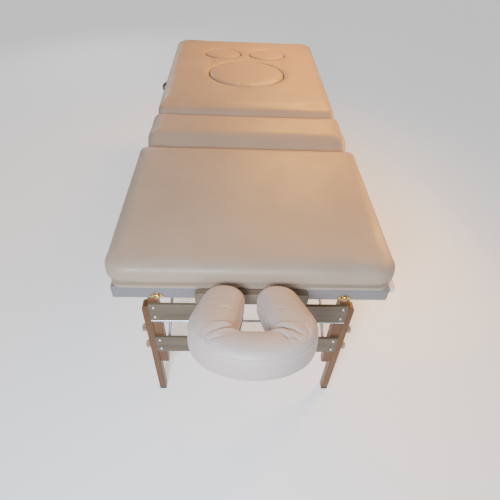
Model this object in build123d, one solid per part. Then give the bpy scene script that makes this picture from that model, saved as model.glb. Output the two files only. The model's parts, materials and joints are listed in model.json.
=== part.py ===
from build123d import *
import math
import os

# Portable massage table that folds in half like a suitcase, with a lift-back end and a face
# cradle. Millimetres, +Z up, floor at z = 0. +Y runs from the head end to the foot end. The
# origin is on the floor under the fold line. The head half lies at y < 0, the foot half at y > 0.

# ---- overall sizes ----
HALF = 925.0                 # length of each half of the table
FRAME_W = 740.0              # width over the side rails
PAD_W = 762.0                # width of the middle and foot cushions
BACK_PAD_W = 796.0           # width of the wider lift-back cushion
TOP_Z = 700.0                # top of the cushions, legs at this height setting
RAIL_Z0, RAIL_Z1 = 598.0, 640.0
RAIL_T = 20.0
RAIL_COVER_R = 5.0           # soft front edges of the covered end rails
WOOD_EDGE_R = 1.5            # eased edges of the wooden pieces
DECK_T = 8.0
PAD_Z0 = 650.0               # underside of the cushions
BACK_SEAM_Y = -265.0         # seam between the lift-back and the middle section
FOLD_LEANS = (10.0, 36.0)    # lean of the head-side and foot-side faces of the fold groove, degrees
BACK_LEANS = (5.0, 50.0)     # the same for the groove of the lift-back
GROOVE_FOOT = 4.0            # half width of each groove at its bottom
PAD_EDGE_R = 20.0
BACK_CORNER_R = 65.0         # head-end corners of the lift-back cushion, seen from above
BACK_SEAM_R = 36.0           # its corners at the back seam
SEAM_CORNER_R = 22.0         # corners of the other cushions at the seams
FOOT_CORNER_R = 70.0         # foot-end corners of the foot cushion
DECK_CORNER_R = 30.0         # head-end corners of the back deck

# ---- fold hinge at the middle ----
FOLD_Z = 594.0
FOLD_BARREL_R, FOLD_PIN_R = 4.0, 2.0
FOLD_HINGE_X = (-270.0, 0.0, 270.0)
KNUCKLE = 16.0
PIN_FIT = 0.05

# ---- back hinge ----
BACK_AXIS_Z = 650.0
BACK_BARREL_R, BACK_PIN_R = 3.5, 1.75
BACK_HINGE_X = (-250.0, 0.0, 250.0)
BACK_GAP = 1.0

# ---- leg frames, drawn for the head end and mirrored for the foot end ----
LEG_Y, LEG_Z = -850.0, 624.0         # pivot of the head-end leg frame
LEG_DEPTH = 30.0
LEG_X0, LEG_X1 = 270.0, 298.0        # inner plank
EXT_X0, EXT_X1 = 298.3, 322.0        # sliding extension plank
LEG_BOTTOM_Z = 183.0
EXT_TOP_Z = 491.5
FOOT_H = 10.0
KNOB_Z = (368.0, 278.0)
BOLT_R = 4.0
SLOT_R = 4.3
EXT_UP, EXT_DOWN = 80.0, 100.0       # travel of the extensions
KNOB_R, KNOB_T = 13.0, 16.0
STUD_END = 0.4                       # the stud stops just past the inner plank
BOARD_T = 9.0
GUSSET_Z, GUSSET_INNER_X = (434.0, 510.0), 112.0
CROSSBAR_Z = (268.0, 346.0)
TIE_ROD_R = 4.5

# ---- folding stays ----
STAY_R = 6.5                         # eyes at the ends of each link
STAY_TUBE_R = 5.9
STAY_LOW_Y, STAY_LOW_Z = -857.5, 268.0
STAY_HIGH_Y, STAY_HIGH_Z = -75.0, 616.5
STAY_LOWER_X, STAY_UPPER_X = 262.7, 247.8
STAY_SLACK = 0.13                    # extra length that lets the folded knee rise a little
STAY_PIN_R = 2.5

# ---- face cradle ----
POST_X, POST_Z, POST_R = 101.6, 617.0, 8.0
POST_IN = 90.0
CRADLE_TILT = 22.0
TILT_Y, TILT_Z = -966.7, 608.8
TILT_PIN_R = 3.0
PILLOW_W, PILLOW_L, PILLOW_T = 290.0, 322.0, 74.0
ARM_END_X, ARM_END_Y, ARM_END_R = 66.0, 57.0, 55.0   # round end of each arm
OPENING_HALF, OPENING_Y = 32.0, 218.0                # face opening at its widest, and its far edge
OPENING_CORNER_R, OPENING_SIDE = 14.0, 30.0          # its far corners, and its straight sides
PILLOW_EDGE_R, PILLOW_FOOT_R = 32.0, 8.0             # roundness of the top and bottom edges
PLATE_INSET, PLATE_RECESS = 12.0, 14.0               # plate inside the pillow, more at the crown
PLATE_T = 9.0
LEVER_X, LEVER_Y, LEVER_Z = 84.0, 40.0, -9.0         # lever pivot, from the tilt axis
LEVER_PIN_R = 2.0

# ---- plugs in the foot cushion: centre x, centre y, width, length ----
PLUGS = {
    "belly_plug": (4.0, 435.0, 366.0, 334.0),
    "left_breast_plug": (-115.0, 704.0, 190.0, 148.0),
    "right_breast_plug": (115.0, 704.0, 190.0, 148.0),
}
PLUG_GAP = 1.0
PLUG_LEDGE = 14.0

# ---- back prop ----
PROP_JOINT_Y, PROP_LEN, PROP_Z = -545.0, 280.0, 632.0
PROP_X0, PROP_X1 = 218.0, 232.0
RACK_X0, RACK_X1 = 196.0, 208.0
RACK_Z0, RACK_Z1 = 610.0, 626.4

# ---- latches and handles ----
LATCH_X, LATCH_Z = 252.0, 609.0
HANDLE_Y, HANDLE_LEN, HANDLE_OUT = 445.0, 140.0, 40.0


def block(x0, x1, y0, y1, z0, z1):
    size = (x1 - x0, y1 - y0, z1 - z0)
    return Pos((x0 + x1) / 2, (y0 + y1) / 2, (z0 + z1) / 2) * Box(*size)


def rod_x(x0, x1, y, z, radius):
    return Pos((x0 + x1) / 2, y, z) * Rot(0, 90, 0) * Cylinder(radius, x1 - x0)


def rod_y(y0, y1, x, z, radius):
    return Pos(x, (y0 + y1) / 2, z) * Rot(90, 0, 0) * Cylinder(radius, y1 - y0)


def rod_between(start, end, radius):
    way = Vector(*end) - Vector(*start)
    middle = (Vector(*start) + Vector(*end)) / 2
    return Plane(origin=middle, z_dir=way) * Cylinder(radius, way.length)


def prism_x(points, x0, x1):
    """A flat outline in (y, z), drawn out along X from x0 to x1."""
    plane = Plane(origin=(x0, 0, 0), x_dir=(0, 1, 0), z_dir=(1, 0, 0))
    return extrude(plane * make_face(Polyline(*points, close=True)), amount=x1 - x0)


def both_sides(solid):
    return [solid, mirror(solid, about=Plane.YZ)]


def at_foot_end(solids):
    return [mirror(s, about=Plane.XZ) for s in solids]


def save(name, solids):
    solids = [s for shape in solids for s in shape.solids()]
    export_step(Compound(children=solids), f"parts/{name}.step")


# ---- frame of one half ----
def end_rail():
    rail = block(-FRAME_W / 2, FRAME_W / 2, -HALF, -HALF + RAIL_T, RAIL_Z0, RAIL_Z1)
    rail = fillet(rail.edges().filter_by(Axis.X).group_by(Axis.Y)[0], RAIL_COVER_R)
    rail = fillet(rail.edges().group_by(Axis.X)[0] + rail.edges().group_by(Axis.X)[-1], 1.5)
    for x in (-POST_X, POST_X):
        rail -= rod_y(-HALF - 1, -HALF + RAIL_T + 1, x, POST_Z, POST_R + PIN_FIT)
    return [rail]


def frame_rails():
    inner = FRAME_W / 2 - RAIL_T
    side = block(inner, FRAME_W / 2, -HALF + RAIL_T, -1, RAIL_Z0, RAIL_Z1)
    side = fillet(side.edges().filter_by(Axis.Y).group_by(Axis.Z)[0], WOOD_EDGE_R)
    centre = block(-inner, inner, -1 - RAIL_T, -1, RAIL_Z0, RAIL_Z1)
    socket = block(POST_X - 20, POST_X + 20, -HALF + RAIL_T, -HALF + 60, RAIL_Z0 + 2, RAIL_Z1 - 2)
    socket -= rod_y(-HALF, -HALF + 61, POST_X, POST_Z, POST_R + PIN_FIT)
    return both_sides(side) + [centre] + both_sides(socket)


def brackets():
    """Leg clevises on the end rail and stay anchors on the centre rail, with their pins."""
    reach = LEG_Y + 13
    plate = block(LEG_X0 - 4, LEG_X1 + 4, -HALF + RAIL_T, -HALF + RAIL_T + 3, 606, 638)
    for x in (LEG_X0 - 4, LEG_X1 + 1.5):
        plate += block(x, x + 2.5, -HALF + RAIL_T, reach, 612, 638)
    plate += rod_x(LEG_X0 - 7, LEG_X1 + 7, LEG_Y, LEG_Z, BOLT_R)
    ear = block(236.5, 239.5, STAY_HIGH_Y - 7, -1 - RAIL_T, 606, 638)
    ear += block(236.5, 250, -1 - RAIL_T - 3, -1 - RAIL_T, 606, 638)
    ear += rod_x(236.5, STAY_UPPER_X + STAY_R, STAY_HIGH_Y, STAY_HIGH_Z, STAY_PIN_R)
    return both_sides(plate) + both_sides(ear)


def deck(y0, y1):
    return block(-FRAME_W / 2, FRAME_W / 2, y0, y1, RAIL_Z1, RAIL_Z1 + DECK_T)


def cushion(width, y0, y1, lean0, lean1, corner0, corner1):
    """A slab whose end faces lean back where they form a groove, with rounded corners."""
    rise = TOP_Z - PAD_Z0
    set0 = rise * math.tan(math.radians(lean0))
    set1 = rise * math.tan(math.radians(lean1))
    side = [(y0, PAD_Z0), (y1, PAD_Z0), (y1 - set1, TOP_Z), (y0 + set0, TOP_Z)]
    body = prism_x(side, -width / 2, width / 2)
    for end, radius in ((0, corner0), (-1, corner1)):
        uprights = [e for e in body.edges() if e.bounding_box().size.Z > 0.9 * rise]
        body = fillet(ShapeList(uprights).group_by(Axis.Y)[end], radius)
    return fillet(body.faces().sort_by(Axis.Z)[-1].edges(), PAD_EDGE_R)


def oval(cx, cy, width, length, z0, z1):
    return Pos(cx, cy, z0) * extrude(Ellipse(width / 2, length / 2), amount=z1 - z0)


# ---- hinges ----
def hinge_half(centre, side, spans, axis_y, axis_z, leaf, outer, bore):
    """One leaf of a butt hinge with its knuckles; leaf is (reach, z0, z1)."""
    reach, z0, z1 = leaf
    near, far = sorted((axis_y, axis_y + side * reach))
    solid = Part()
    for a, b in spans:
        solid += rod_x(centre + a, centre + b, axis_y, axis_z, outer)
        solid += block(centre + a, centre + b, near, far, z0, z1)
    away = sorted((axis_y + side * (outer + 1), axis_y + side * reach))
    solid += block(centre - 2.5 * KNUCKLE, centre + 2.5 * KNUCKLE, away[0], away[1], z0, z1)
    for a, b in spans:
        solid -= rod_x(centre + a - 0.1, centre + b + 0.1, axis_y, axis_z, bore)
    return solid


def knuckle_spans(odd):
    """Knuckle places along a hinge: three on the odd leaf, two on the other."""
    spans = []
    for n in range(5):
        if (n % 2 == 0) == odd:
            start = (n - 2.5) * KNUCKLE
            spans.append((start + 0.2, start + KNUCKLE - 0.2))
    return spans


def fold_leaves(side):
    leaf = (20.0, RAIL_Z0 - 2, RAIL_Z0)
    return [
        hinge_half(x, side, knuckle_spans(side < 0), 0, FOLD_Z, leaf, FOLD_BARREL_R, FOLD_PIN_R + PIN_FIT)
        for x in FOLD_HINGE_X
    ]


def back_leaves(side):
    leaf = (32.0, RAIL_Z1 + DECK_T - 2, RAIL_Z1 + DECK_T)
    return [
        hinge_half(x, side, knuckle_spans(side < 0), BACK_SEAM_Y, BACK_AXIS_Z, leaf,
                   BACK_BARREL_R, BACK_PIN_R + PIN_FIT)
        for x in BACK_HINGE_X
    ]


def back_leaf_pockets():
    """Room in the two decks for the back hinges' leaves and barrels."""
    top = RAIL_Z1 + DECK_T
    cuts = []
    for x in BACK_HINGE_X:
        half = 2.5 * KNUCKLE + 0.5
        cuts.append(block(x - half, x + half, BACK_SEAM_Y - 32.5, BACK_SEAM_Y + 32.5, top - 2, top + 1))
        cuts.append(rod_x(x - half, x + half, BACK_SEAM_Y, BACK_AXIS_Z, BACK_BARREL_R + 0.5))
    return cuts


# ---- leg frame of the head end ----
def upper_leg():
    y0, y1 = LEG_Y - LEG_DEPTH / 2, LEG_Y + LEG_DEPTH / 2
    leg = block(LEG_X0, LEG_X1, y0, y1, LEG_BOTTOM_Z + LEG_DEPTH / 2, LEG_Z)
    leg += rod_x(LEG_X0, LEG_X1, LEG_Y, LEG_Z, LEG_DEPTH / 2)
    leg += rod_x(LEG_X0, LEG_X1, LEG_Y, LEG_BOTTOM_Z + LEG_DEPTH / 2, LEG_DEPTH / 2)
    leg = fillet(leg.edges().group_by(Axis.X)[0] + leg.edges().group_by(Axis.X)[-1], WOOD_EDGE_R)
    leg -= rod_x(LEG_X0 - 1, LEG_X1 + 1, LEG_Y, LEG_Z, BOLT_R + PIN_FIT)
    for z in KNOB_Z:
        leg -= rod_x(LEG_X0 - 1, LEG_X1 + 1, LEG_Y, z, BOLT_R + PIN_FIT)
    return leg


def extension():
    y0, y1 = LEG_Y - LEG_DEPTH / 2, LEG_Y + LEG_DEPTH / 2
    leg = block(EXT_X0, EXT_X1, y0, y1, FOOT_H, EXT_TOP_Z)
    leg = fillet(leg.edges().filter_by(Axis.Y).group_by(Axis.Z)[-1].sort_by(Axis.X)[-1:], 14)
    leg = fillet(leg.edges().group_by(Axis.Y)[0] + leg.edges().group_by(Axis.Y)[-1], WOOD_EDGE_R)
    low, high = KNOB_Z[1] - EXT_UP, KNOB_Z[0] + EXT_DOWN
    slot = block(EXT_X0 - 1, EXT_X1 + 1, LEG_Y - SLOT_R, LEG_Y + SLOT_R, low, high)
    for z in (low, high):
        slot += rod_x(EXT_X0 - 1, EXT_X1 + 1, LEG_Y, z, SLOT_R)
    return leg - slot


def foot():
    y0, y1 = LEG_Y - LEG_DEPTH / 2, LEG_Y + LEG_DEPTH / 2
    pad = block(EXT_X0, EXT_X1, y0, y1, 0, FOOT_H)
    return fillet(pad.edges().group_by(Axis.Z)[0], 3)


def knob(z):
    """A lobed grip outside the extension, with its stud through both planks."""
    grip = rod_x(EXT_X1 + 1.5, EXT_X1 + KNOB_T, LEG_Y, z, KNOB_R)
    for n in range(6):
        angle = math.radians(60 * n)
        y = LEG_Y + (KNOB_R + 3) * math.cos(angle)
        grip -= rod_x(EXT_X1, EXT_X1 + KNOB_T + 1, y, z + (KNOB_R + 3) * math.sin(angle), 5)
    grip += rod_x(EXT_X1 + 0.3, EXT_X1 + 2, LEG_Y, z, 8)
    grip += rod_x(LEG_X0 - STUD_END, EXT_X1 + 4, LEG_Y, z, BOLT_R)
    return grip


def gusset():
    y1 = LEG_Y - LEG_DEPTH / 2
    board = block(GUSSET_INNER_X, LEG_X1, y1 - BOARD_T, y1, GUSSET_Z[0], GUSSET_Z[1])
    inner = board.edges().filter_by(Axis.Y).group_by(Axis.X)[0].sort_by(Axis.Z)[-1:]
    board = fillet(inner, 30)
    return fillet(board.edges().group_by(Axis.Y)[0], WOOD_EDGE_R)


def crossbar():
    y1 = LEG_Y - LEG_DEPTH / 2
    bar = block(-LEG_X1, LEG_X1, y1 - BOARD_T, y1, CROSSBAR_Z[0], CROSSBAR_Z[1])
    return fillet(bar.edges().group_by(Axis.Y)[0], WOOD_EDGE_R)


def leg_hardware():
    """The steel tie rod between the planks, and the domed screws of the boards."""
    face = LEG_Y - LEG_DEPTH / 2 - BOARD_T
    rod = rod_x(-LEG_X1, LEG_X1, face + BOARD_T / 2, GUSSET_Z[0] - TIE_ROD_R, TIE_ROD_R)
    screws = []
    for z0, z1 in (GUSSET_Z, CROSSBAR_Z):
        for z in (z0 + 16, z1 - 16):
            head = Pos((LEG_X0 + LEG_X1) / 2, face, z) * Rot(90, 0, 0) * Cone(4.5, 2.6, 2.2)
            screws += both_sides(Pos(0, -1.1, 0) * head)
    return [rod] + screws


def stay_points():
    """Lower pin, knee and upper pin of the straight stay, as (y, z).

    With the leg frame folded, the lower link lies back along the upper one, so the links'
    lengths add up to the open span and differ by the folded span.
    """
    dy, dz = STAY_HIGH_Y - STAY_LOW_Y, STAY_HIGH_Z - STAY_LOW_Z
    open_span = math.hypot(dy, dz)
    folded_span = STAY_HIGH_Y - LEG_Y - (LEG_Z - STAY_LOW_Z)
    part = ((open_span - folded_span) / 2 + STAY_SLACK) / open_span
    knee = (STAY_LOW_Y + dy * part, STAY_LOW_Z + dz * part)
    return (STAY_LOW_Y, STAY_LOW_Z), knee, (STAY_HIGH_Y, STAY_HIGH_Z)


def stay_link(start, end, x):
    """A tube with a flattened eye at each end."""
    tube = rod_between((x, *start), (x, *end), STAY_TUBE_R)
    for y, z in (start, end):
        tube += rod_x(x - STAY_R, x + STAY_R, y, z, STAY_R)
    return tube


def stay_links():
    low, knee, high = stay_points()
    lower = stay_link(low, knee, STAY_LOWER_X)
    lower -= rod_x(STAY_LOWER_X - 10, STAY_LOWER_X + 10, *low, STAY_PIN_R + PIN_FIT)
    upper = stay_link(knee, high, STAY_UPPER_X)
    upper -= rod_x(STAY_UPPER_X - 10, STAY_UPPER_X + 10, *high, STAY_PIN_R + PIN_FIT)
    upper += rod_x(STAY_UPPER_X - STAY_R - 1.5, STAY_UPPER_X, *knee, 5)
    return lower, upper


def stay_lower_pin():
    """A headed pin on the inner face of the plank, for the lower link."""
    inner = STAY_LOWER_X - STAY_R
    pin = rod_x(inner - 1, LEG_X0, STAY_LOW_Y, STAY_LOW_Z, STAY_PIN_R)
    return pin + rod_x(inner - 1.4, inner - 0.2, STAY_LOW_Y, STAY_LOW_Z, 2 * STAY_PIN_R)


# ---- face cradle ----
def cradle_plane():
    """Local frame of the tilting plate: x across, y towards the person's crown, z out of the plate."""
    tilt = math.radians(CRADLE_TILT)
    up = (0, math.sin(tilt), math.cos(tilt))
    return Plane(origin=(0, TILT_Y, TILT_Z), x_dir=(-1, 0, 0), z_dir=up)


def horseshoe(inset, z0, z1, recess=0):
    """The pillow's outline drawn in by inset, with the crown set back by recess."""
    crown = Pos(0, PILLOW_L - PILLOW_W / 2 - recess) * Circle(PILLOW_W / 2 - inset)
    ends = [Pos(x, ARM_END_Y) * Circle(ARM_END_R - inset) for x in (-ARM_END_X, ARM_END_X)]
    outline = make_hull((crown + ends[0] + ends[1]).edges())
    outline -= Pos(0, ARM_END_Y / 2) * Rectangle(2 * ARM_END_X, ARM_END_Y)
    outline += ends[0] + ends[1]
    mouth, wide = ARM_END_X - ARM_END_R + inset, OPENING_HALF + inset
    far = OPENING_Y + inset
    near = far - OPENING_SIDE
    right = [(mouth, ARM_END_Y), (wide, near), (wide, far)]
    left = [(-x, y) for x, y in reversed(right)]
    opening = make_face(Polyline(*right, *left, close=True))
    opening = fillet(opening.vertices().sort_by(Axis.Y)[-2:], OPENING_CORNER_R + inset)
    return Pos(0, 0, z0) * extrude(outline - opening, amount=z1 - z0)


def cradle_platform():
    """The plate under the pillow, its two hinge barrels and the ear of the lever."""
    plate = horseshoe(PLATE_INSET, 0.5, 0.5 + PLATE_T, PLATE_RECESS)
    for x in (-ARM_END_X, ARM_END_X):
        plate += Pos(x, 0, 0) * Rot(0, 90, 0) * Cylinder(6, 30)
        plate += Pos(x, 13, 2.75) * Box(30, 26, 5.5)
        plate -= Pos(x, 0, 0) * Rot(0, 90, 0) * Cylinder(TILT_PIN_R + PIN_FIT, 32)
    ear = Pos(LEVER_X - 8, LEVER_Y, LEVER_Z + 3) * Box(5, 16, 14)
    ear -= Pos(LEVER_X - 8, LEVER_Y, LEVER_Z) * Rot(0, 90, 0) * Cylinder(LEVER_PIN_R + PIN_FIT, 6)
    return cradle_plane() * (plate + ear)


def pillow():
    body = horseshoe(0, PLATE_T + 1, PLATE_T + 1 + PILLOW_T)
    body = fillet(body.edges().group_by(Axis.Z)[-1], PILLOW_EDGE_R)
    body = fillet(body.edges().group_by(Axis.Z)[0], PILLOW_FOOT_R)
    return cradle_plane() * body


def cradle_posts():
    """Two posts that slide into the end rail, their cross tube lugs and the tilt pins."""
    solids = []
    for side in (-1, 1):
        x = side * POST_X
        post = rod_y(-HALF - 24, -HALF + POST_IN, x, POST_Z, POST_R)
        post = chamfer(post.edges().group_by(Axis.Y)[-1], 1.5)
        solids.append(post)
        lug = block(x - 3, x + 3, TILT_Y, -HALF - 24, TILT_Z - 4.5, TILT_Z + 6)
        lug += rod_x(x - 3, x + 3, TILT_Y, TILT_Z, 6)
        inward = side * 44
        pin_ends = sorted((x, inward))
        lug += rod_x(pin_ends[0], pin_ends[1], TILT_Y, TILT_Z, TILT_PIN_R)
        solids.append(lug)
    return solids


def cradle_crosspiece():
    bar = block(-149, 149, -HALF - 24, -HALF - 4, 604, 644)
    tops = bar.edges().filter_by(Axis.Y).group_by(Axis.Z)[-1]
    bar = fillet(tops, 12)
    bar = fillet(bar.edges().group_by(Axis.Y)[0] + bar.edges().group_by(Axis.Y)[-1], WOOD_EDGE_R)
    for x in (-POST_X, POST_X):
        bar -= rod_y(-HALF - 25, -HALF, x, POST_Z, POST_R)
    return [bar]


def cradle_lever():
    """A cam lever under the plate, with the pin that turns in the plate's ear."""
    arm = Pos(LEVER_X, LEVER_Y + 28, LEVER_Z - 3) * Box(9, 70, 7)
    arm = fillet(arm.edges().filter_by(Axis.Z), 3)
    arm += Pos(LEVER_X, LEVER_Y, LEVER_Z) * Rot(0, 90, 0) * Cylinder(8, 9)
    arm += Pos(LEVER_X - 6, LEVER_Y, LEVER_Z) * Rot(0, 90, 0) * Cylinder(LEVER_PIN_R, 12)
    return cradle_plane() * arm


# ---- back prop ----
def back_prop():
    """Two arms hinged under the back section, joined by a dowel that rests in the racks."""
    foot_y = PROP_JOINT_Y - PROP_LEN
    solids = Part()
    for side in (-1, 1):
        x0, x1 = sorted((side * PROP_X0, side * PROP_X1))
        solids += block(x0, x1, foot_y, PROP_JOINT_Y, PROP_Z - 5, PROP_Z + 5)
        solids += rod_x(x0, x1, PROP_JOINT_Y, PROP_Z, 5)
        solids -= rod_x(x0 - 1, x1 + 1, PROP_JOINT_Y, PROP_Z, 2 + PIN_FIT)
    return [solids + rod_x(-PROP_X1, PROP_X1, foot_y, PROP_Z, 5)]


def prop_anchor():
    """Plates under the back deck that carry the prop's pins."""
    solids = []
    for side in (-1, 1):
        x = side * (PROP_X0 - 4)
        ear = block(x - 2, x + 2, PROP_JOINT_Y - 8, PROP_JOINT_Y + 8, PROP_Z - 4, RAIL_Z1)
        ends = sorted((x, side * (PROP_X1 + 2)))
        solids.append(ear + rod_x(ends[0], ends[1], PROP_JOINT_Y, PROP_Z, 2))
    return solids


def prop_rack():
    """A notched strip; the notches stop the prop's dowel at each back angle."""
    rack = block(RACK_X0, RACK_X1, -HALF + RAIL_T, -1 - RAIL_T, RACK_Z0, RACK_Z1)
    rack += block(RACK_X0, RACK_X1, BACK_SEAM_Y + 12, -1 - RAIL_T, RACK_Z1, RAIL_Z1)
    for n in range(7):
        y = PROP_JOINT_Y + 5 + 36 * n - 36
        notch = [(y, RACK_Z1 + 1), (y + 9, RACK_Z1 + 1), (y + 9, RACK_Z1 - 6)]
        rack -= prism_x(notch, RACK_X0 - 1, RACK_X1 + 1)
    return both_sides(rack)


# ---- latches, strikes and handles ----
def latch_plate():
    plane = Plane(origin=(LATCH_X, -HALF, LATCH_Z), x_dir=(1, 0, 0), z_dir=(0, -1, 0))
    wing = extrude(Ellipse(19, 8), amount=2) + extrude(Circle(11), amount=2)
    wing = plane * wing
    wing += rod_y(-HALF - 7, -HALF, LATCH_X, LATCH_Z, 2.5)
    return both_sides(wing)


def latch_turn(x):
    """A turning grip with a hook arm that closes on the strike of the other half."""
    grip = rod_y(-HALF - 9, -HALF - 2.3, x, LATCH_Z, 7.5)
    grip = fillet(grip.edges().group_by(Axis.Y)[0], 2)
    grip += block(x, x + 17, -HALF - 5, -HALF - 2.3, LATCH_Z - 3.5, LATCH_Z + 3.5)
    return [grip - rod_y(-HALF - 7.2, -HALF, x, LATCH_Z, 2.5 + PIN_FIT)]


def latch_strike():
    plate = block(LATCH_X - 12, LATCH_X + 12, HALF, HALF + 2, RAIL_Z0 + 2, RAIL_Z0 + 16)
    return both_sides(plate + rod_y(HALF, HALF + 6, LATCH_X, RAIL_Z0 + 9, 3))


def carry_handle(y):
    """A strap handle screwed to the side rail at both ends, arched away from it."""
    x = -FRAME_W / 2
    outline = ThreePointArc((x - 2, y - HANDLE_LEN / 2), (x - HANDLE_OUT, y), (x - 2, y + HANDLE_LEN / 2))
    inner = ThreePointArc((x - 2, y - HANDLE_LEN / 2 + 12), (x - HANDLE_OUT + 6, y),
                          (x - 2, y + HANDLE_LEN / 2 - 12))
    ends = [Line(outline @ 0, inner @ 0), Line(inner @ 1, outline @ 1)]
    grip = Pos(0, 0, 607) * extrude(make_face([outline, inner] + ends), amount=20)
    for side in (-1, 1):
        centre = y + side * (HANDLE_LEN / 2 + 4)
        grip += block(x - 4, x, centre - 14, centre + 14, 607, 627)
    return [grip]


def back_catch():
    """A turn button on the side rail that holds the back section down for carrying."""
    x = FRAME_W / 2
    button = block(x + 1, x + 24, -HALF + 20, -HALF + 58, 608, 630)
    button = fillet(button.edges().filter_by(Axis.X), 6)
    return [fillet(button.edges().group_by(Axis.X)[-1], 3) + rod_x(x, x + 2, -HALF + 39, 619, 6)]


def far_deck_and_cushion():
    base = deck(1, HALF)
    pad = cushion(PAD_W, GROOVE_FOOT, HALF, FOLD_LEANS[1], 0, SEAM_CORNER_R, FOOT_CORNER_R)
    plugs = {}
    for name, (cx, cy, width, length) in PLUGS.items():
        pad -= oval(cx, cy, width, length, PAD_Z0 - 1, TOP_Z + 1)
        base -= oval(cx, cy, width - 2 * PLUG_LEDGE, length - 2 * PLUG_LEDGE, 600, 700)
        plug = oval(cx, cy, width - 2 * PLUG_GAP, length - 2 * PLUG_GAP, RAIL_Z1 + DECK_T, TOP_Z)
        plugs[name] = fillet(plug.edges().group_by(Axis.Z)[-1], 6)
    return base, pad, plugs


def leg_frame_parts(end, turn):
    """Every piece of one end's leg frame; turn places head-end solids at either end."""
    lower, upper = stay_links()
    save(f"{end}_upper_legs", turn(both_sides(upper_leg())))
    save(f"{end}_leg_boards", turn(both_sides(gusset()) + [crossbar()]))
    save(f"{end}_leg_hardware", turn(leg_hardware() + both_sides(stay_lower_pin())))
    save(f"{end}_stay_lower_links", turn(both_sides(lower)))
    save(f"{end}_stay_upper_links", turn(both_sides(upper)))
    for side, place in (("left", lambda s: mirror(s, about=Plane.YZ)), ("right", lambda s: s)):
        save(f"{end}_{side}_extension", turn([place(extension())]))
        save(f"{end}_{side}_foot", turn([place(foot())]))
        for level, z in zip(("upper", "lower"), KNOB_Z):
            save(f"{end}_{side}_{level}_knob", turn([place(knob(z))]))


def main():
    os.makedirs("parts", exist_ok=True)
    for end, turn, side in (("head", list, -1), ("foot", at_foot_end, 1)):
        save(f"{end}_end_rail", turn(end_rail()))
        save(f"{end}_frame_rails", turn(frame_rails()))
        save(f"{end}_brackets", turn(brackets()))
        save(f"{end}_hinge_leaves", fold_leaves(side))
        save(f"{end}_carry_handle", carry_handle(side * HANDLE_Y))
        leg_frame_parts(end, turn)
    pins = [rod_x(x - 2.5 * KNUCKLE, x + 2.5 * KNUCKLE, 0, FOLD_Z, FOLD_PIN_R) for x in FOLD_HINGE_X]
    save("fold_hinge_pins", pins)

    base, pad, plugs = far_deck_and_cushion()
    save("foot_deck", [base])
    save("foot_cushion", [pad])
    for name, plug in plugs.items():
        save(name, [plug])

    middle, back = deck(BACK_SEAM_Y + BACK_GAP, -1), deck(-HALF, BACK_SEAM_Y - BACK_GAP)
    back = fillet(back.edges().filter_by(Axis.Z).group_by(Axis.Y)[0], DECK_CORNER_R)
    for cut in back_leaf_pockets():
        middle -= cut
        back -= cut
    seam_foot, seam_head = BACK_SEAM_Y + GROOVE_FOOT, BACK_SEAM_Y - GROOVE_FOOT
    save("middle_deck", [middle])
    save("back_deck", [back])
    leans = (BACK_LEANS[1], FOLD_LEANS[0])
    save("middle_cushion", [cushion(PAD_W, seam_foot, -GROOVE_FOOT, *leans, SEAM_CORNER_R, SEAM_CORNER_R)])
    save("back_cushion", [cushion(BACK_PAD_W, -HALF, seam_head, 0, BACK_LEANS[0], BACK_CORNER_R, BACK_SEAM_R)])
    middle_leaves = back_leaves(1)
    pins = [rod_x(x - 2.5 * KNUCKLE, x + 2.5 * KNUCKLE, BACK_SEAM_Y, BACK_AXIS_Z, BACK_PIN_R)
            for x in BACK_HINGE_X]
    save("back_hinge_fixed", middle_leaves)
    save("back_hinge_moving", back_leaves(-1) + pins + prop_anchor())
    save("back_prop", back_prop())
    save("prop_racks", prop_rack())

    save("cradle_posts", cradle_posts())
    save("cradle_crosspiece", cradle_crosspiece())
    save("cradle_platform", [cradle_platform()])
    save("cradle_lever", [cradle_lever()])
    save("face_pillow", [pillow()])

    save("latch_plates", latch_plate())
    save("left_latch", latch_turn(-LATCH_X))
    save("right_latch", latch_turn(LATCH_X))
    save("latch_strikes", latch_strike())
    save("back_catch", back_catch())


main()
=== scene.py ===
import json
import math

import bmesh
import bpy
import numpy as np
from mathutils import Matrix, Vector
from mathutils.bvhtree import BVHTree


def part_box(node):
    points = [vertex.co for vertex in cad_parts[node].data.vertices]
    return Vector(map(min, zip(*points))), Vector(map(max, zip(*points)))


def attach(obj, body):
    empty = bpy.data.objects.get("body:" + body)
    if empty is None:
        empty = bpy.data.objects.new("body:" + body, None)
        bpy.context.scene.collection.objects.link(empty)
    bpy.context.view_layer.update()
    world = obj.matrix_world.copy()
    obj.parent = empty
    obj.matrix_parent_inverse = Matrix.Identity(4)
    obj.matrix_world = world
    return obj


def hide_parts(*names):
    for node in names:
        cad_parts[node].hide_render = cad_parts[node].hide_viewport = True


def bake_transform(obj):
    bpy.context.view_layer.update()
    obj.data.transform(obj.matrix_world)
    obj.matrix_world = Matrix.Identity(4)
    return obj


# Looks of a portable massage table: padded vinyl sections, a horseshoe face pillow, beech legs,
# zinc and brass fittings. Metres, in the frame of the CAD model: +Y runs from the head end to the
# foot end, +Z is up, the floor is at z = 0.

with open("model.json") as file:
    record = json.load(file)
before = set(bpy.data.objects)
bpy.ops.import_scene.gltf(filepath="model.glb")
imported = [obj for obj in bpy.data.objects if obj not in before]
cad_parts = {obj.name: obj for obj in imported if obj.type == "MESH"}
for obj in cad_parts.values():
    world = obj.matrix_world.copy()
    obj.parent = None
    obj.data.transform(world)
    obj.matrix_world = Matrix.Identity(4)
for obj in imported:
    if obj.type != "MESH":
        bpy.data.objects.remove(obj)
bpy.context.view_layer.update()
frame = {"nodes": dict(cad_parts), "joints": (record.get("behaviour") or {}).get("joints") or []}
nodes = frame["nodes"]

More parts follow.
